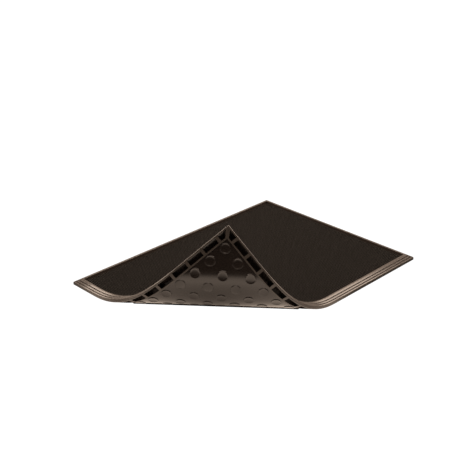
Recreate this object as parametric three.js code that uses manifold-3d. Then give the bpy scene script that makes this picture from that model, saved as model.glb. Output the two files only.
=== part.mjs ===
// Disinfectant footbath mat: one piece of moulded black rubber that lies on the floor.
// A raised border with a stepped ramp holds a shallow bath over the floor of the mat.
// The border is hollow underneath, between cross ribs, and suction cups stand under the floor.
// One corner is turned up and leans back over the mat. Millimetres, +Z up, +X along the long side,
// with the origin on the ground under the middle of the mat.
import * as THREE from "three";
import { mergeVertices } from "three/addons/utils/BufferGeometryUtils.js";
import Module from "manifold-3d";

// Outline of the mat
const matLength = 813;
const matWidth = 610;

// Border section: distances run inwards from the outer edge, heights up from the ground
const borderHeight = 19;
const edgeHeight = 9.3;
const edgeDraft = 0.5;
const rampWidth = 17.5;
const crestWidth = 4.5;
const crestRound = 0.8;
const innerWallSlope = 0.17;
const innerRibWidth = 4;
const innerRibDraft = 1.25;

// Grooves along the ramp, which part it into three treads
const grooveDistances = [5.2, 11.5];
const grooveWidth = 1.6;
const grooveDepth = 1.2;

// Hollow under the border, and the ribs that cross it
const edgeWall = 4.5;
const rampWall = 3.3;
const crossRibWidth = 8;
const cornerRibWidth = 10;

// Floor of the bath
const floorTop = 8;
const floorThickness = 6;

// Suction cups under the floor
const cupPitch = 52;
const leastCupMargin = 40;
const cupRadius = 14.25;
const cupDepth = 2;
const cupSides = 8;

// Turned-up corner: it rolls up square to the crease, whose place is measured from the flat corner
const curlHeading = THREE.MathUtils.degToRad(40.56);
const curlStart = 350;
const curlRadius = 115.5;
const curlAngle = THREE.MathUtils.degToRad(112.2);
const curlLead = 29;
const curlTail = 30;
const neutralHeight = 4.8;
const facetLength = 20;
const rollSteps = 200;

// Worked out from the sizes above
const floorBottom = floorTop - floorThickness;
const floorMiddle = floorTop - floorThickness / 2;
const crestEnd = rampWidth + crestWidth;
const innerFoot = crestEnd + (borderHeight - floorTop) * innerWallSlope;
const ribEnd = innerFoot + innerRibDraft;
const rampSlope = (borderHeight - edgeHeight) / (rampWidth - edgeDraft);
const curlHold = curlAngle * curlRadius - (curlLead + curlTail) / 2;
const curlLength = curlLead + curlHold + curlTail;
const facets = Math.ceil(curlLength / facetLength);
const facetArc = curlLength / facets;

// How far a cutting shape runs past what it cuts, and how near two places count as one
const overshoot = 1;
const snap = 1e-4;

const wasm = await Module();
wasm.setup();

// A closed three.js geometry as a solid for joins and cuts
function solidFrom(geometry) {
  const bare = geometry.clone();
  bare.deleteAttribute("normal");
  bare.deleteAttribute("uv");
  const merged = mergeVertices(bare, snap);
  return new wasm.Manifold(
    new wasm.Mesh({
      numProp: 3,
      vertProperties: merged.attributes.position.array,
      triVerts: new Uint32Array(merged.index.array),
    }),
  );
}

// A section swept round the rectangle of the mat with mitred corners.
// It is a lathe of four sides, pulled apart along X by what the mat is longer than wide.
function mitredRing(section) {
  const closed = [...section, section[0]];
  const profile = closed.map(
    ([inwards, height]) => new THREE.Vector2(Math.SQRT2 * (matWidth / 2 - inwards), height),
  );
  const ring = new THREE.LatheGeometry(profile, 4, Math.PI / 4).rotateX(Math.PI / 2);
  const position = ring.attributes.position;
  for (let i = 0; i < position.count; i++) {
    const shift = (Math.sign(position.getX(i)) * (matLength - matWidth)) / 2;
    position.setX(i, position.getX(i) + shift);
  }
  return solidFrom(ring);
}

function boxBetween(low, high) {
  const size = new THREE.Vector3().subVectors(high, low);
  const middle = new THREE.Vector3().addVectors(low, high).multiplyScalar(0.5);
  const box = new THREE.BoxGeometry(size.x, size.y, size.z);
  return solidFrom(box.translate(middle.x, middle.y, middle.z));
}

function rampHeight(inwards) {
  return edgeHeight + (inwards - edgeDraft) * rampSlope;
}

// Outer wall, ramp with its grooves, rounded crest, and the wall down into the bath
function borderSection() {
  const section = [
    [0, 0],
    [edgeDraft, edgeHeight],
  ];
  for (const distance of grooveDistances) {
    const start = distance - grooveWidth / 2;
    const end = distance + grooveWidth / 2;
    section.push([start, rampHeight(start)]);
    section.push([distance, rampHeight(distance) - grooveDepth]);
    section.push([end, rampHeight(end)]);
  }
  section.push([rampWidth - crestRound, rampHeight(rampWidth - crestRound)]);
  section.push([rampWidth + crestRound / 2, borderHeight]);
  section.push([crestEnd - crestRound, borderHeight]);
  section.push([crestEnd, borderHeight - crestRound]);
  section.push([crestEnd + (borderHeight - floorMiddle) * innerWallSlope, floorMiddle]);
  section.push([ribEnd, floorBottom]);
  section.push([ribEnd, 0]);
  return section;
}

// The hollow under the ramp, open to the ground
function hollowSection() {
  const inner = ribEnd - innerRibWidth;
  const ceilingEnd = Math.min(rampWidth - crestRound, inner);
  return [
    [edgeWall, -overshoot],
    [edgeWall, rampHeight(edgeWall) - rampWall],
    [ceilingEnd, rampHeight(ceilingEnd) - rampWall],
    [inner, rampHeight(ceilingEnd) - rampWall],
    [inner, -overshoot],
  ];
}

// Places along one side, centred on it, where the cups and the cross ribs stand
function places(sideLength) {
  const steps = Math.floor((sideLength - 2 * leastCupMargin) / cupPitch);
  return Array.from({ length: steps + 1 }, (_, i) => (i - steps / 2) * cupPitch);
}

// Ribs across the hollow: one at each row and column of cups, and one along each mitre
function crossRibs() {
  const half = crossRibWidth / 2;
  const reach = ribEnd + overshoot;
  const alongX = matLength / 2;
  const alongY = matWidth / 2;
  let ribs = null;
  const join = (rib) => {
    ribs = ribs ? ribs.add(rib) : rib;
  };
  for (const x of places(matLength)) {
    for (const y of [-alongY, alongY]) {
      const low = new THREE.Vector3(x - half, y - reach, -2 * overshoot);
      const high = new THREE.Vector3(x + half, y + reach, borderHeight);
      join(boxBetween(low, high));
    }
  }
  for (const y of places(matWidth)) {
    for (const x of [-alongX, alongX]) {
      const low = new THREE.Vector3(x - reach, y - half, -2 * overshoot);
      const high = new THREE.Vector3(x + reach, y + half, borderHeight);
      join(boxBetween(low, high));
    }
  }
  const mitreLength = 2 * Math.SQRT2 * reach;
  for (const x of [-alongX, alongX]) {
    for (const y of [-alongY, alongY]) {
      const rib = new THREE.BoxGeometry(mitreLength, cornerRibWidth, 2 * borderHeight);
      rib.rotateZ((Math.sign(x * y) * Math.PI) / 4);
      join(solidFrom(rib.translate(x, y, 0)));
    }
  }
  return ribs;
}

// One suction cup: a short round foot with a hollow dish in its face
function suctionCup(x, y) {
  const profile = [
    new THREE.Vector2(0, cupDepth),
    new THREE.Vector2(cupRadius, 0),
    new THREE.Vector2(cupRadius, floorMiddle),
    new THREE.Vector2(0, floorMiddle),
  ];
  const cup = new THREE.LatheGeometry(profile, cupSides).rotateX(Math.PI / 2);
  return solidFrom(cup.translate(x, y, 0));
}

// How far round the roll a point of the flat mat lies: below zero it stays on the ground
function arcOf(point) {
  const fromCornerX = point.x + matLength / 2;
  const fromCornerY = point.y + matWidth / 2;
  const fromCorner = fromCornerX * Math.cos(curlHeading) + fromCornerY * Math.sin(curlHeading);
  return curlStart - fromCorner;
}

// Angle turned after an arc: the curvature eases in over the lead and out over the tail
function turnAfter(arc) {
  const lead = THREE.MathUtils.clamp(arc, 0, curlLead);
  const hold = THREE.MathUtils.clamp(arc - curlLead, 0, curlHold);
  const tail = THREE.MathUtils.clamp(arc - curlLead - curlHold, 0, curlTail);
  const eased = lead ** 2 / (2 * curlLead) + hold + tail - tail ** 2 / (2 * curlTail);
  return eased / curlRadius;
}

// Where the neutral layer lies after an arc: how far out and how far up
function rollAfter(arc) {
  const step = arc / rollSteps;
  let out = 0;
  let up = 0;
  for (let i = 0; i < rollSteps; i++) {
    const turn = turnAfter((i + 0.5) * step);
    out += Math.cos(turn) * step;
    up += Math.sin(turn) * step;
  }
  return { out, up };
}

// Turns one point of the flat mat up with the corner
function curled(point) {
  const arc = arcOf(point);
  if (arc <= 0) return point.clone();
  const turn = turnAfter(arc);
  const { out, up } = rollAfter(arc);
  const aboveNeutral = point.z - neutralHeight;
  const moved = out - arc - Math.sin(turn) * aboveNeutral;
  return new THREE.Vector3(
    point.x - moved * Math.cos(curlHeading),
    point.y - moved * Math.sin(curlHeading),
    neutralHeight + up + Math.cos(turn) * aboveNeutral,
  );
}

// Cuts triangles along the lines where one facet of the roll meets the next.
// The new corners lie on the triangles' edges and are shared, so a closed shape stays closed.
function splitIntoFacets(points, triangles) {
  const arcs = points.map(arcOf);
  const levels = arcs.map((arc) => {
    const level = THREE.MathUtils.clamp(arc / facetArc, -1, facets + 1);
    return Math.abs(level - Math.round(level)) < snap ? Math.round(level) : level;
  });
  const made = new Map();
  function crossings(a, b) {
    if (a > b) return crossings(b, a).toReversed();
    const key = a + "," + b;
    if (!made.has(key)) {
      const numbers = [];
      for (let level = 0; level <= facets; level++) {
        if ((levels[a] - level) * (levels[b] - level) >= 0) continue;
        const share = (level * facetArc - arcs[a]) / (arcs[b] - arcs[a]);
        numbers.push(points.length);
        points.push(points[a].clone().lerp(points[b], share));
        levels.push(level);
      }
      made.set(key, levels[a] < levels[b] ? numbers : numbers.toReversed());
    }
    return made.get(key);
  }
  const pieces = [];
  for (const [a, b, c] of triangles) {
    const loop = [a, ...crossings(a, b), b, ...crossings(b, c), c, ...crossings(c, a)];
    for (let level = -1; level <= facets; level++) {
      const piece = loop.filter((i) => levels[i] >= level && levels[i] <= level + 1);
      for (let i = 2; i < piece.length; i++) pieces.push([piece[0], piece[i - 1], piece[i]]);
    }
  }
  return pieces;
}

// A flat solid with the part of it that lies in the corner turned up.
// A small one takes its corners to the roll as they are, without being cut into facets.
function curledSolid(solid, small = false) {
  const mesh = solid.getMesh();
  const points = [];
  for (let i = 0; i < mesh.numVert; i++) {
    points.push(new THREE.Vector3().fromArray(mesh.vertProperties, i * mesh.numProp));
  }
  if (points.every((point) => arcOf(point) <= 0)) return solid;
  const triangles = [];
  for (let i = 0; i < mesh.numTri; i++) {
    triangles.push([...mesh.triVerts.subarray(3 * i, 3 * i + 3)]);
  }
  const pieces = small ? triangles : splitIntoFacets(points, triangles);
  return new wasm.Manifold(
    new wasm.Mesh({
      numProp: 3,
      vertProperties: new Float32Array(points.flatMap((point) => curled(point).toArray())),
      triVerts: new Uint32Array(pieces.flat()),
    }),
  );
}

// Border, floor and cups joined into one closed geometry
function matGeometry() {
  const border = curledSolid(mitredRing(borderSection()));
  const hollow = curledSolid(mitredRing(hollowSection()).subtract(crossRibs()));
  const reachX = matLength / 2 - crestEnd;
  const reachY = matWidth / 2 - crestEnd;
  const floor = boxBetween(
    new THREE.Vector3(-reachX, -reachY, floorBottom),
    new THREE.Vector3(reachX, reachY, floorTop),
  );
  let mat = border.subtract(hollow).add(curledSolid(floor));
  for (const x of places(matLength)) {
    for (const y of places(matWidth)) mat = mat.add(curledSolid(suctionCup(x, y), true));
  }
  const mesh = mat.getMesh();
  const geometry = new THREE.BufferGeometry();
  geometry.setAttribute("position", new THREE.BufferAttribute(mesh.vertProperties, 3));
  geometry.setIndex(new THREE.BufferAttribute(mesh.triVerts, 1));
  geometry.computeVertexNormals();
  return geometry;
}

const blackRubber = new THREE.MeshStandardMaterial({
  name: "moulded rubber",
  color: 0x332c27,
  roughness: 0.55,
  metalness: 0,
});

const mat = new THREE.Mesh(matGeometry(), blackRubber);
mat.name = "footbath_mat";

const footbath = new THREE.Group();
footbath.add(mat);

export default footbath;
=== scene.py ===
import math

import bmesh
import bpy
import numpy as np
from mathutils import Matrix, Vector


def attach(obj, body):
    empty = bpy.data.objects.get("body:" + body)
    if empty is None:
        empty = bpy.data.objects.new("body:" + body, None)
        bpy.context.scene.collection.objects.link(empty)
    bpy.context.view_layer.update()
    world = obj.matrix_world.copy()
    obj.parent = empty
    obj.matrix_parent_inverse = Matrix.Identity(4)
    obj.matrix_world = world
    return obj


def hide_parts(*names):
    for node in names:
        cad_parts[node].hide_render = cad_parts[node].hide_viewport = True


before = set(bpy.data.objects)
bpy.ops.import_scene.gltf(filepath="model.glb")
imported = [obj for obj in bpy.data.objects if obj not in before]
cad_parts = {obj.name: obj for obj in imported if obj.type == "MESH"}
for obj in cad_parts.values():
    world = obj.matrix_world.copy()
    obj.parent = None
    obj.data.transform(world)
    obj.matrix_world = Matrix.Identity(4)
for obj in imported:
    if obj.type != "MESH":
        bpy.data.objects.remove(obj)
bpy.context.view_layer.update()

METRES = 0.001

# Outline and border section, as on the solid
LENGTH = 813
WIDTH = 610
BORDER_HEIGHT = 19
EDGE_HEIGHT = 9.3
EDGE_DRAFT = 0.5
RAMP_WIDTH = 17.5
CREST_END = 22
INNER_FOOT = 23.9
RIB_END = 25.1
RIB_WIDTH = 4
EDGE_WALL = 4.5
RAMP_WALL = 3.3
GROOVES = (5.2, 11.5)
GROOVE_WIDTH = 2.2
GROOVE_DEPTH = 2.1
CROSS_RIB = 8
CORNER_RIB = 10
CORNER_REACH = 60
EDGE_ROUND = 0.35
SHARP = math.radians(50)
FLOOR_TOP = 8
FLOOR_BOTTOM = 2

# Suction cups
CUP_PITCH = 52
CUP_MARGIN = 40
CUP_RADIUS = 14.25
CUP_DEPTH = 2
CUP_STEPS = 24

# Rubber fingers that stand on the floor of the bath
FINGER_PITCH = 6
FINGER_HEIGHT = 5
FINGER_FOOT = 2.5
FINGER_TIP = 2.1
FINGER_MARGIN = 28
FINGER_SIDES = 6
FINGER_BANDS = 3
FINGER_EDGE = 0.35
FINGER_CROWN = 0.3
FINGER_SUNK = 0.3

# Faint round boss beside the corner cup
BOSS_FACE = 4.4
BOSS_FOOT = 5.2
BOSS_DEPTH = 1.2
BOSS_EDGE = 0.35
BOSS_SHIFT = 1
BOSS_STEPS = 24

# The roll of the turned-up corner, measured from the flat corner square to the crease
HEADING = math.radians(40.56)
CURL_START = 350
CURL_RADIUS = 115.5
CURL_ANGLE = math.radians(112.2)
CURL_LEAD = 29
CURL_TAIL = 30
NEUTRAL = 4.8
FOLD_STEP = 4

CURL_HOLD = CURL_ANGLE * CURL_RADIUS - (CURL_LEAD + CURL_TAIL) / 2
CURL_LENGTH = CURL_LEAD + CURL_HOLD + CURL_TAIL
RAMP_SLOPE = (BORDER_HEIGHT - EDGE_HEIGHT) / (RAMP_WIDTH - EDGE_DRAFT)
HOLLOW_END = RIB_END - RIB_WIDTH
CEILING_END = RAMP_WIDTH - 0.8
SQUARE = Vector((math.cos(HEADING), math.sin(HEADING), 0))
FLAT_CORNER = Vector((-LENGTH / 2, -WIDTH / 2, 0))

# Slots of the body's materials, whose first is the top's
UNDER_SLOT = 1
BATH_SLOT = 2
# The last slot holds rougher rubber for the border's bottom faces, painted lighter as painted light that
# these ribs catch
PAINTED_LIT_FOOT_SLOT = 3


# Colours

def linear(code):
    """A hex colour as the linear values that Blender's sockets take."""
    channels = [int(code[i : i + 2], 16) / 255 for i in (1, 3, 5)]
    bright = [c / 12.92 if c <= 0.04045 else ((c + 0.055) / 1.055) ** 2.4 for c in channels]
    return (*bright, 1)


def add(tree, kind, inputs=None, **settings):
    """Adds a node: settings are its own values, inputs are values or sockets to link from."""
    node = tree.nodes.new(kind)
    for name, value in settings.items():
        setattr(node, name, value)
    for socket, value in (inputs or {}).items():
        if isinstance(value, bpy.types.NodeSocket):
            tree.links.new(value, node.inputs[socket])
        else:
            node.inputs[socket].default_value = value
    return node


def new_material(name):
    material = bpy.data.materials.new(name)
    material.use_nodes = True
    tree = material.node_tree
    tree.nodes.clear()
    return material, tree


def remap(tree, value, low, high, new_low, new_high):
    """A value taken from one range to another, and held at its ends."""
    ends = {"From Min": low, "From Max": high, "To Min": new_low, "To Max": new_high}
    return add(tree, "ShaderNodeMapRange", {"Value": value, **ends}).outputs[0]


def reckon(tree, operation, *values):
    """What a maths node makes of one or two values."""
    return add(tree, "ShaderNodeMath", dict(enumerate(values)), operation=operation).outputs[0]


def light_up(tree, kind, output, level, seen_level):
    """Even white for the camera, and warm light of another level for every other ray."""
    glow = add(tree, kind, {"Color": linear(LIGHT), "Strength": level})
    seen = add(tree, kind, {"Color": linear("#ffffff"), "Strength": seen_level})
    rays = add(tree, "ShaderNodeLightPath")
    parts = {0: rays.outputs["Is Camera Ray"], 1: glow.outputs[0], 2: seen.outputs[0]}
    mix = add(tree, "ShaderNodeMixShader", parts)
    add(tree, output, {"Surface": mix.outputs[0]})


def add_object(name, data):
    item = bpy.data.objects.new(name, data)
    bpy.context.scene.collection.objects.link(item)
    return item


def mesh_of(bm, name):
    mesh = bpy.data.meshes.new(name)
    bm.to_mesh(mesh)
    bm.free()
    return mesh


# Moulded black rubber: natural rubber with carbon black, satin from a fine-blasted mould.
# The eye gets a near black with a warm grey sheen where it mirrors something bright.
def moulded_rubber(name, colour, pale, roughness, spread, grain, shine=0.5):
    material, tree = new_material(name)
    place = add(tree, "ShaderNodeTexCoord").outputs["Object"]
    bloom = add(tree, "ShaderNodeTexNoise", {"Vector": place, "Scale": 9, "Detail": 4, "Roughness": 0.6})
    shade = add(
        tree,
        "ShaderNodeMix",
        {0: bloom.outputs["Fac"], 6: linear(colour), 7: linear(pale)},
        data_type="RGBA",
    )
    polish = remap(tree, bloom.outputs["Fac"], 0, 1, roughness - spread, roughness + spread)
    # Mould grain is about 0.3 mm; it is drawn at 1.5 mm, so that it still shows
    fine = add(tree, "ShaderNodeTexNoise", {"Vector": place, "Scale": 650, "Detail": 2})
    relief = add(
        tree,
        "ShaderNodeBump",
        {"Height": fine.outputs["Fac"], "Strength": grain, "Distance": 0.0002},
    )
    rubber = add(
        tree,
        "ShaderNodeBsdfPrincipled",
        {
            "Base Color": shade.outputs[2],
            "Roughness": polish,
            "IOR": 1.52,
            "Specular IOR Level": shine,
            "Normal": relief.outputs[0],
        },
    )
    add(tree, "ShaderNodeOutputMaterial", {"Surface": rubber.outputs[0]})
    return material


# The roll

ROLL_TABLE_STEP = 0.25
roll_arcs = np.arange(0, CURL_LENGTH + ROLL_TABLE_STEP, ROLL_TABLE_STEP)
lead_part = np.clip(roll_arcs, 0, CURL_LEAD)
hold_part = np.clip(roll_arcs - CURL_LEAD, 0, CURL_HOLD)
tail_part = np.clip(roll_arcs - CURL_LEAD - CURL_HOLD, 0, CURL_TAIL)
roll_turns = (
    lead_part**2 / (2 * CURL_LEAD) + hold_part + tail_part - tail_part**2 / (2 * CURL_TAIL)
) / CURL_RADIUS
mid_turns = (roll_turns[1:] + roll_turns[:-1]) / 2
roll_out = np.concatenate([[0], np.cumsum(np.cos(mid_turns))]) * ROLL_TABLE_STEP
roll_up = np.concatenate([[0], np.cumsum(np.sin(mid_turns))]) * ROLL_TABLE_STEP


def curled(points):
    """Takes points of the flat mat, in millimetres, to the turned-up corner, in metres."""
    from_corner = (points[:, 0] + LENGTH / 2) * math.cos(HEADING)
    from_corner += (points[:, 1] + WIDTH / 2) * math.sin(HEADING)
    arc = CURL_START - from_corner
    on_roll = np.clip(arc, 0, roll_arcs[-1])
    past = np.maximum(arc - roll_arcs[-1], 0)
    turn = np.interp(on_roll, roll_arcs, roll_turns)
    out = np.interp(on_roll, roll_arcs, roll_out) + past * math.cos(CURL_ANGLE)
    up = np.interp(on_roll, roll_arcs, roll_up) + past * math.sin(CURL_ANGLE)
    above = points[:, 2] - NEUTRAL
    moved = np.where(arc > 0, out - arc - np.sin(turn) * above, 0)
    height = np.where(arc > 0, NEUTRAL + up + np.cos(turn) * above, points[:, 2])
    x = points[:, 0] - moved * math.cos(HEADING)
    y = points[:, 1] - moved * math.sin(HEADING)
    return np.stack([x, y, height], axis=1) * METRES


def curl_mesh(mesh):
    points = np.zeros(len(mesh.vertices) * 3)
    mesh.vertices.foreach_get("co", points)
    mesh.vertices.foreach_set("co", curled(points.reshape(-1, 3)).ravel())
    mesh.update()


def finish_piece(mesh, name, materials):
    piece = add_object(name, mesh)
    for material in materials:
        mesh.materials.append(material)
    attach(piece, "root")
    return piece


def places(side):
    """Where cups and cross ribs stand along a side, from its middle."""
    steps = int((side - 2 * CUP_MARGIN) // CUP_PITCH)
    return [(i - steps / 2) * CUP_PITCH for i in range(steps + 1)]


def ramp_height(inwards):
    return EDGE_HEIGHT + (inwards - EDGE_DRAFT) * RAMP_SLOPE


def border_section():
    """The border's section, from the floor's underside round the outer edge to the bath's floor."""
    section = [
        (RIB_END + 0.5, FLOOR_BOTTOM),
        (RIB_END, FLOOR_BOTTOM - 0.5),
        (RIB_END, 0),
        (HOLLOW_END, 0),
        (CEILING_END, 0),
        (EDGE_WALL, 0),
        (1.8, 0),
        (0.95, 0.18),
        (0.35, 0.7),
        (0.06, 1.6),
        (EDGE_DRAFT - 0.05, EDGE_HEIGHT - 1),
        (EDGE_DRAFT + 0.2, EDGE_HEIGHT - 0.3),
        (EDGE_DRAFT + 0.9, ramp_height(EDGE_DRAFT + 0.9)),
    ]
    for groove in GROOVES:
        start = groove - GROOVE_WIDTH / 2
        end = groove + GROOVE_WIDTH / 2
        section += [
            (start - 0.5, ramp_height(start - 0.5)),
            (start, ramp_height(start) - 0.15),
            (groove - 0.3, ramp_height(groove) - GROOVE_DEPTH),
            (groove + 0.3, ramp_height(groove) - GROOVE_DEPTH),
            (end, ramp_height(end) - 0.15),
            (end + 0.5, ramp_height(end + 0.5)),
        ]
    section += [
        (RAMP_WIDTH - 0.6, ramp_height(RAMP_WIDTH - 0.6)),
        (RAMP_WIDTH, BORDER_HEIGHT - 0.2),
        (RAMP_WIDTH + 0.7, BORDER_HEIGHT),
        (CREST_END - 1, BORDER_HEIGHT),
        (CREST_END - 0.3, BORDER_HEIGHT - 0.25),
        (CREST_END, BORDER_HEIGHT - 0.9),
        (INNER_FOOT - 0.15, FLOOR_TOP + 1),
        (INNER_FOOT + 0.3, FLOOR_TOP + 0.25),
        (INNER_FOOT + 1.2, FLOOR_TOP),
    ]
    return section


def swept_border(bm):
    """Sweeps the section round the rectangle by three mirrored extrusions, and closes it."""
    corner = [
        bm.verts.new((inwards - LENGTH / 2, inwards - WIDTH / 2, height))
        for inwards, height in border_section()
    ]
    edges = [bm.edges.new(pair) for pair in zip(corner, corner[1:])]
    flips = [Matrix.Scale(-1, 4, (1, 0, 0)), Matrix.Scale(-1, 4, (0, 1, 0))] * 2
    for flip in flips:
        made = bmesh.ops.extrude_edge_only(bm, edges=edges)["geom"]
        edges = [item for item in made if isinstance(item, bmesh.types.BMEdge)]
        verts = [item for item in made if isinstance(item, bmesh.types.BMVert)]
        bmesh.ops.transform(bm, matrix=flip, verts=verts)
        edges = [edge for edge in edges if edge.verts[0] in verts and edge.verts[1] in verts]
    bmesh.ops.remove_doubles(bm, verts=bm.verts[:], dist=0.001)
    open_edges = [edge for edge in bm.edges if edge.is_boundary]
    bmesh.ops.edgeloop_fill(bm, edges=[e for e in open_edges if e.verts[0].co.z > FLOOR_BOTTOM + 1])
    bmesh.ops.edgeloop_fill(bm, edges=[e for e in open_edges if e.verts[0].co.z < FLOOR_BOTTOM + 1])


def inwards_of(point):
    """How far a point of the flat mat lies in from the nearest side."""
    return min(LENGTH / 2 - abs(point.x), WIDTH / 2 - abs(point.y))


def from_mitre(point):
    """How far a point of the flat mat lies from the nearest corner's mitre."""
    x_gap = LENGTH / 2 - abs(point.x)
    y_gap = WIDTH / 2 - abs(point.y)
    return abs(x_gap - y_gap) / math.sqrt(2)


def is_hollow_strip(face):
    middle = face.calc_center_median()
    return abs(middle.z) < 0.01 and EDGE_WALL < inwards_of(middle) < HOLLOW_END


def cut_faces(bm, faces, point, normal):
    geometry = set(faces)
    for face in faces:
        geometry.update(face.edges)
        geometry.update(face.verts)
    bmesh.ops.bisect_plane(
        bm, geom=list(geometry), dist=0.001, plane_co=Vector(point), plane_no=Vector(normal)
    )


def hollow_border(bm):
    """Sinks a hollow under the border between each two cross ribs."""
    half = CROSS_RIB / 2
    for middle in places(LENGTH):
        for side in (-half, half):
            strip = [f for f in bm.faces if is_hollow_strip(f)]
            strip = [f for f in strip if LENGTH / 2 - abs(f.calc_center_median().x) > HOLLOW_END]
            cut_faces(bm, strip, (middle + side, 0, 0), (1, 0, 0))
    for middle in places(WIDTH):
        for side in (-half, half):
            strip = [f for f in bm.faces if is_hollow_strip(f)]
            strip = [f for f in strip if WIDTH / 2 - abs(f.calc_center_median().y) > HOLLOW_END]
            cut_faces(bm, strip, (0, middle + side, 0), (0, 1, 0))
    for x_side in (-1, 1):
        for y_side in (-1, 1):
            across = Vector((x_side, -y_side, 0)).normalized()
            corner = Vector((x_side * LENGTH / 2, y_side * WIDTH / 2, 0))
            for side in (-CORNER_RIB / 2, CORNER_RIB / 2):
                strip = [f for f in bm.faces if is_hollow_strip(f)]
                strip = [f for f in strip if (f.calc_center_median() - corner).length < CORNER_REACH]
                cut_faces(bm, strip, corner + across * side, across)

    def in_rib(face):
        point = face.calc_center_median()
        if from_mitre(point) < CORNER_RIB / 2:
            return True
        if LENGTH / 2 - abs(point.x) < WIDTH / 2 - abs(point.y):
            return min(abs(point.y - middle) for middle in places(WIDTH)) < half
        return min(abs(point.x - middle) for middle in places(LENGTH)) < half

    bays = [f for f in bm.faces if is_hollow_strip(f) and not in_rib(f)]
    made = bmesh.ops.extrude_face_region(bm, geom=bays)["geom"]
    left = [f for f in bays if f.is_valid]
    if left:
        bmesh.ops.delete(bm, geom=left, context="FACES")
    for vert in made:
        if isinstance(vert, bmesh.types.BMVert):
            inwards = min(inwards_of(vert.co), CEILING_END)
            vert.co.z = ramp_height(inwards) - RAMP_WALL


def mat_body(rubber, glossy_rubber, shaded_bath_rubber, painted_lit_foot_rubber):
    bm = bmesh.new()
    swept_border(bm)
    hollow_border(bm)
    folds = int(CURL_LENGTH // FOLD_STEP)
    for i in range(folds + 1):
        place = FLAT_CORNER + SQUARE * (CURL_START - i * CURL_LENGTH / folds)
        geometry = bm.verts[:] + bm.edges[:] + bm.faces[:]
        bmesh.ops.bisect_plane(bm, geom=geometry, dist=0.001, plane_co=place, plane_no=SQUARE)
    bmesh.ops.recalc_face_normals(bm, faces=bm.faces[:])
    for face in bm.faces:
        face.smooth = True
        middle = face.calc_center_median()
        inwards = inwards_of(middle)
        under = face.normal.z < -0.2 or (inwards > EDGE_WALL - 0.5 and middle.z < FLOOR_BOTTOM)
        hollow = EDGE_WALL - 0.1 < inwards < HOLLOW_END + 0.1
        hollow = hollow and middle.z < ramp_height(inwards) - RAMP_WALL + 0.1
        in_bath = inwards > INNER_FOOT and middle.z > FLOOR_BOTTOM
        # The border's bottom faces: rougher rubber whose lighter colour is painted light
        painted_lit_foot = middle.z < 0.1 and under
        if painted_lit_foot:
            face.material_index = PAINTED_LIT_FOOT_SLOT
        elif under or hollow:
            face.material_index = UNDER_SLOT
        elif in_bath:
            face.material_index = BATH_SLOT
    for edge in bm.edges:
        edge.smooth = edge.calc_face_angle(0) < SHARP
    mesh = mesh_of(bm, "mat_body")
    curl_mesh(mesh)
    body = finish_piece(mesh, "mat_body", [rubber, glossy_rubber, shaded_bath_rubber, painted_lit_foot_rubber])
    bevel = body.modifiers.new("rounded edges", "BEVEL")
    bevel.width = EDGE_ROUND * METRES
    bevel.segments = 2
    bevel.limit_method = "ANGLE"
    bevel.angle_limit = SHARP
    even = body.modifiers.new("even normals", "WEIGHTED_NORMAL")
    even.mode = "FACE_AREA"
    even.keep_sharp = True
    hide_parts("footbath_mat")


def suction_cups(glossy_rubber):
    """Cups are spun once, then repeated under the whole floor, and curled with it."""
    profile = [
        (0, FLOOR_BOTTOM + 0.8),
        (CUP_RADIUS + 0.8, FLOOR_BOTTOM + 0.6),
        (CUP_RADIUS + 0.7, FLOOR_BOTTOM),
        (CUP_RADIUS + 0.25, FLOOR_BOTTOM - 0.25),
        (CUP_RADIUS, FLOOR_BOTTOM - 0.8),
        (CUP_RADIUS - 0.15, 0.45),
        (CUP_RADIUS - 0.6, 0.05),
        (CUP_RADIUS - 1.3, 0.1),
        (CUP_RADIUS - 2, 0.6),
        (CUP_RADIUS * 0.66, CUP_DEPTH * 0.6),
        (CUP_RADIUS * 0.36, CUP_DEPTH * 0.88),
        (0, CUP_DEPTH),
    ]
    bm = bmesh.new()
    verts = [bm.verts.new((radius, 0, height)) for radius, height in profile]
    edges = [bm.edges.new(pair) for pair in zip(verts, verts[1:])]
    bmesh.ops.spin(
        bm,
        geom=verts + edges,
        axis=(0, 0, 1),
        cent=(0, 0, 0),
        angle=math.tau,
        steps=CUP_STEPS,
        use_merge=True,
    )
    bmesh.ops.remove_doubles(bm, verts=bm.verts[:], dist=0.01)
    bmesh.ops.recalc_face_normals(bm, faces=bm.faces[:])
    for face in bm.faces:
        face.smooth = True
    mesh = mesh_of(bm, "cup")
    columns = places(LENGTH)
    rows = places(WIDTH)
    mesh.transform(Matrix.Translation((columns[0], rows[0], 0)))
    cups = arrayed(mesh, "suction_cups", len(columns), len(rows), CUP_PITCH)
    curl_mesh(cups)
    finish_piece(cups, "suction_cups", [glossy_rubber])


def moulding_mark(glossy_rubber):
    """A faint round boss beside the corner cup."""
    bm = bmesh.new()
    bmesh.ops.create_cone(
        bm,
        cap_ends=True,
        segments=BOSS_STEPS,
        radius1=BOSS_FACE,
        radius2=BOSS_FOOT,
        depth=BOSS_DEPTH,
    )
    rim = [edge for edge in bm.edges if max(v.co.z for v in edge.verts) < 0]
    bmesh.ops.bevel(bm, geom=rim, offset=BOSS_EDGE, segments=2, affect="EDGES")
    place = (places(LENGTH)[0] + CUP_PITCH / 2, places(WIDTH)[0] - BOSS_SHIFT, FLOOR_BOTTOM)
    bmesh.ops.translate(bm, vec=Vector(place), verts=bm.verts[:])
    mesh = mesh_of(bm, "moulding_mark")
    curl_mesh(mesh)
    finish_piece(mesh, "moulding_mark", [glossy_rubber])


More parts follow.
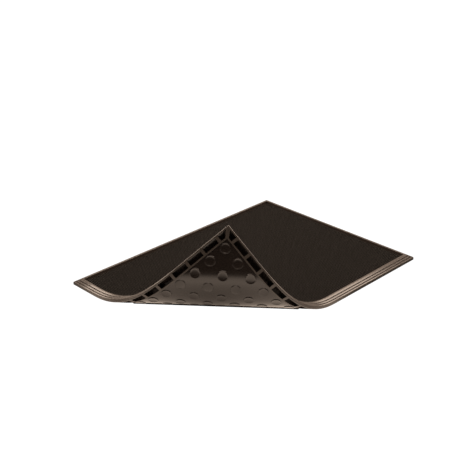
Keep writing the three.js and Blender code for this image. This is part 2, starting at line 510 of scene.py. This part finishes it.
def arrayed(mesh, name, columns, rows, pitch):
    """A joined mesh of columns by rows of copies."""
    source = add_object(name, mesh)
    for count, offset in ((columns, (pitch, 0, 0)), (rows, (0, pitch, 0))):
        array = source.modifiers.new("array", "ARRAY")
        array.count = count
        array.use_relative_offset = False
        array.use_constant_offset = True
        array.constant_offset_displace = offset
    bpy.context.view_layer.update()
    shown = source.evaluated_get(bpy.context.evaluated_depsgraph_get())
    joined = bpy.data.meshes.new_from_object(shown)
    bpy.data.objects.remove(source)
    return joined


def rubber_fingers(rubber):
    """Short tapered fingers on a square grid, in bands so that no piece gets too heavy."""
    columns = int((LENGTH - 2 * FINGER_MARGIN) // FINGER_PITCH) + 1
    rows = int((WIDTH - 2 * FINGER_MARGIN) // FINGER_PITCH) + 1
    first_x = -(columns - 1) * FINGER_PITCH / 2
    first_y = -(rows - 1) * FINGER_PITCH / 2
    done = 0
    for band in range(FINGER_BANDS):
        count = (rows - done) // (FINGER_BANDS - band)
        bm = bmesh.new()
        bmesh.ops.create_cone(
            bm,
            cap_ends=True,
            segments=FINGER_SIDES,
            radius1=FINGER_FOOT,
            radius2=FINGER_TIP,
            depth=FINGER_HEIGHT,
        )
        base = [f for f in bm.faces if f.normal.z < -0.9]
        bmesh.ops.delete(bm, geom=base, context="FACES_ONLY")
        tip = [f for f in bm.faces if f.normal.z > 0.9]
        bmesh.ops.inset_region(bm, faces=tip, thickness=FINGER_EDGE, depth=FINGER_CROWN)
        for face in bm.faces:
            face.smooth = True
        middle_height = FLOOR_TOP + FINGER_HEIGHT / 2 - FINGER_SUNK
        start = (first_x, first_y + done * FINGER_PITCH, middle_height)
        bmesh.ops.translate(bm, vec=Vector(start), verts=bm.verts[:])
        mesh = mesh_of(bm, "finger")
        joined = arrayed(mesh, "finger", columns, count, FINGER_PITCH)
        curl_mesh(joined)
        finish_piece(joined, f"rubber_fingers_{band + 1}", [rubber])
        done += count


# Camera, floor and light

CAMERA_PLACE = Vector((-1.7710, -1.7349, 1.33245))
CAMERA_HEADING = Vector((0.7027, 0.7115, 0))
CAMERA_PITCH = math.radians(25.91)
CAMERA_ROLL = math.radians(0.47)
CAMERA_LENS = 73.5

# The studio's light is warm, but the floor and the background are burnt out to white
LIGHT = "#ffe7d2"

# Sheets of the stage, in metres under the mat's rest, and how far the dark one, a painted shadow,
# reaches
FLOOR_SIZE = 20
FLOOR_LEVEL = -0.0003
SHADE_LEVEL = -0.00015
SHADE_INSET = 53
SHADE_REACH = 50

# Where the floor's painted shade lies: the middle of the crease, and the reach along the roll's heading
# and across
CREASE_MIDDLE = (-0.176, -0.036, 0)
DIM_REACH = (0.49, 0.42, 1)
RING_MIDDLE = 0.02


def add_camera():
    data = bpy.data.cameras.new("camera")
    data.lens = CAMERA_LENS
    data.sensor_width = 36
    data.clip_start = 0.05
    camera = add_object("camera", data)
    bpy.context.scene.camera = camera
    level = CAMERA_HEADING.normalized()
    ahead = level * math.cos(CAMERA_PITCH) - Vector((0, 0, math.sin(CAMERA_PITCH)))
    right = ahead.cross(Vector((0, 0, 1))).normalized()
    up = right.cross(ahead)
    right, up = (
        right * math.cos(CAMERA_ROLL) - up * math.sin(CAMERA_ROLL),
        up * math.cos(CAMERA_ROLL) + right * math.sin(CAMERA_ROLL),
    )
    turn = Matrix((right, up, -ahead)).transposed()
    camera.matrix_world = Matrix.Translation(CAMERA_PLACE) @ turn.to_4x4()


def add_sheet(name, bm, level, material):
    """A flat sheet of the stage."""
    bmesh.ops.translate(bm, vec=Vector((0, 0, level)), verts=bm.verts[:])
    mesh = mesh_of(bm, name)
    mesh.materials.append(material)
    return add_object(name, mesh)


def add_floor():
    """A floor that looks even white, but for every other ray is painted dimmer near where the mat rests:
    painted shade that the rubber mirrors.
    """
    bm = bmesh.new()
    bmesh.ops.create_grid(bm, x_segments=1, y_segments=1, size=FLOOR_SIZE)
    material, tree = new_material("white studio floor")
    place = add(tree, "ShaderNodeTexCoord").outputs["Object"]
    # Measured from the middle of the crease, along the roll's heading and across it
    from_crease = add(
        tree,
        "ShaderNodeMapping",
        {
            "Vector": place,
            "Location": CREASE_MIDDLE,
            "Rotation": (0, 0, HEADING),
            "Scale": DIM_REACH,
        },
        vector_type="TEXTURE",
    ).outputs[0]
    distance = add(tree, "ShaderNodeVectorMath", {0: from_crease}, operation="LENGTH")
    along = add(tree, "ShaderNodeSeparateXYZ", {"Vector": from_crease}).outputs["X"]
    near = remap(tree, distance.outputs["Value"], 0, 1, 0.02, 2.4)
    far = remap(tree, along, -2.4, -1.05, 0.1, 1.8)
    open_floor = reckon(tree, "MINIMUM", near, far)
    # Dimmer close round the mat's sides, which the upright outer wall mirrors
    folded = add(tree, "ShaderNodeVectorMath", {0: place}, operation="ABSOLUTE")
    half_sizes = (LENGTH / 2 * METRES, WIDTH / 2 * METRES, 0)
    beyond = add(
        tree, "ShaderNodeVectorMath", {0: folded.outputs[0], 1: half_sizes}, operation="SUBTRACT"
    )
    sides = add(tree, "ShaderNodeSeparateXYZ", {"Vector": beyond.outputs[0]})
    outside = reckon(tree, "MAXIMUM", sides.outputs["X"], sides.outputs["Y"])
    ring = reckon(tree, "ABSOLUTE", reckon(tree, "ADD", outside, -RING_MIDDLE))
    beside = remap(tree, ring, 0.02, 0.1, 0.2, 1)
    # In front of the crease the floor stays bright, as the turned-up corner mirrors it
    front = remap(tree, along, -0.05, 0.15, 1, 0)
    level = reckon(tree, "MULTIPLY", open_floor, reckon(tree, "MAXIMUM", beside, front))
    light_up(tree, "ShaderNodeEmission", "ShaderNodeOutputMaterial", level, 1.1)
    floor = add_sheet("floor", bm, FLOOR_LEVEL, material)


def add_shade():
    """A dark sheet painted as the mat's shadow on the floor, up to where the turned-up corner leaves the
    ground.
    """
    bm = bmesh.new()
    bmesh.ops.create_grid(bm, x_segments=1, y_segments=1, size=1)
    sides = (LENGTH / 2 - SHADE_INSET, WIDTH / 2 - SHADE_INSET, 1)
    bmesh.ops.scale(bm, vec=Vector(sides), verts=bm.verts[:])
    crease = FLAT_CORNER + SQUARE * (CURL_START - SHADE_REACH)
    geometry = bm.verts[:] + bm.edges[:] + bm.faces[:]
    bmesh.ops.bisect_plane(bm, geom=geometry, plane_co=crease, plane_no=SQUARE, clear_inner=True)
    bmesh.ops.scale(bm, vec=Vector((METRES, METRES, METRES)), verts=bm.verts[:])
    material, tree = new_material("floor in the mat's shade")
    paint = add(tree, "ShaderNodeBsdfDiffuse", {"Color": linear("#1c1815")})
    add(tree, "ShaderNodeOutputMaterial", {"Surface": paint.outputs[0]})
    shade = add_sheet("shade", bm, SHADE_LEVEL, material)


def add_softbox(name, place, target, size, radiance):
    data = bpy.data.lights.new(name, "AREA")
    data.shape = "SQUARE"
    data.size = size
    data.energy = radiance * math.pi * size * size
    data.color = linear(LIGHT)[:3]
    light = add_object(name, data)
    aim = (Vector(target) - Vector(place)).to_track_quat("-Z", "Y")
    light.matrix_world = Matrix.Translation(place) @ aim.to_matrix().to_4x4()
    light.visible_camera = False


def add_world():
    """White behind the mat, darker towards the viewer's side, which the glossy underside mirrors."""
    world = bpy.data.worlds.new("studio")
    bpy.context.scene.world = world
    world.use_nodes = True
    tree = world.node_tree
    tree.nodes.clear()
    ray = add(tree, "ShaderNodeTexCoord").outputs["Generated"]
    towards_back = add(
        tree,
        "ShaderNodeVectorMath",
        {0: ray, 1: (0.7, 0.7, 0)},
        operation="DOT_PRODUCT",
    )
    side = remap(tree, towards_back.outputs["Value"], -0.5, 0.5, 0.05, 1)
    steep = add(tree, "ShaderNodeSeparateXYZ", {"Vector": ray})
    low = remap(tree, steep.outputs["Z"], 0.35, 0.65, 0.5, 1.1)
    level = reckon(tree, "MULTIPLY", side, low)
    light_up(tree, "ShaderNodeBackground", "ShaderNodeOutputWorld", level, 1.2)


top_rubber = moulded_rubber("moulded black rubber", "#28221e", "#2e2723", 0.36, 0.04, 0.35)
under_rubber = moulded_rubber("smooth moulded rubber", "#1c1816", "#231e1c", 0.2, 0.03, 0.08)
# The fingers and the bath's floor are painted darker than the border's top, as painted shade among the
# fingers; their rougher, duller finish is their own
shaded_finger_rubber = moulded_rubber("moulded rubber fingers painted darker", "#12100e", "#161412", 0.58, 0.05, 0.2, 0.12)
# Rougher rubber for the ribs' bottom faces, its colour painted lighter than the top's as painted light
painted_lit_rib_rubber = moulded_rubber("rough rubber ribs painted lighter", "#312c28", "#38322d", 0.5, 0.05, 0.3)

mat_body(top_rubber, under_rubber, shaded_finger_rubber, painted_lit_rib_rubber)
suction_cups(under_rubber)
moulding_mark(under_rubber)
rubber_fingers(shaded_finger_rubber)

add_camera()
add_floor()
add_shade()
add_softbox("overhead softbox", (0.9, 0.9, 3.0), (0.9, 0.9, 0), 5, 2.4)
add_softbox("right softbox", (3.1, -0.8, 2.75), (0.2, -0.3, 0), 2.6, 8)
add_softbox("left softbox", (-0.9, 3.1, 2.75), (-0.3, 0.25, 0), 2.6, 8)
add_world()
bpy.context.scene.view_settings.view_transform = "Standard"
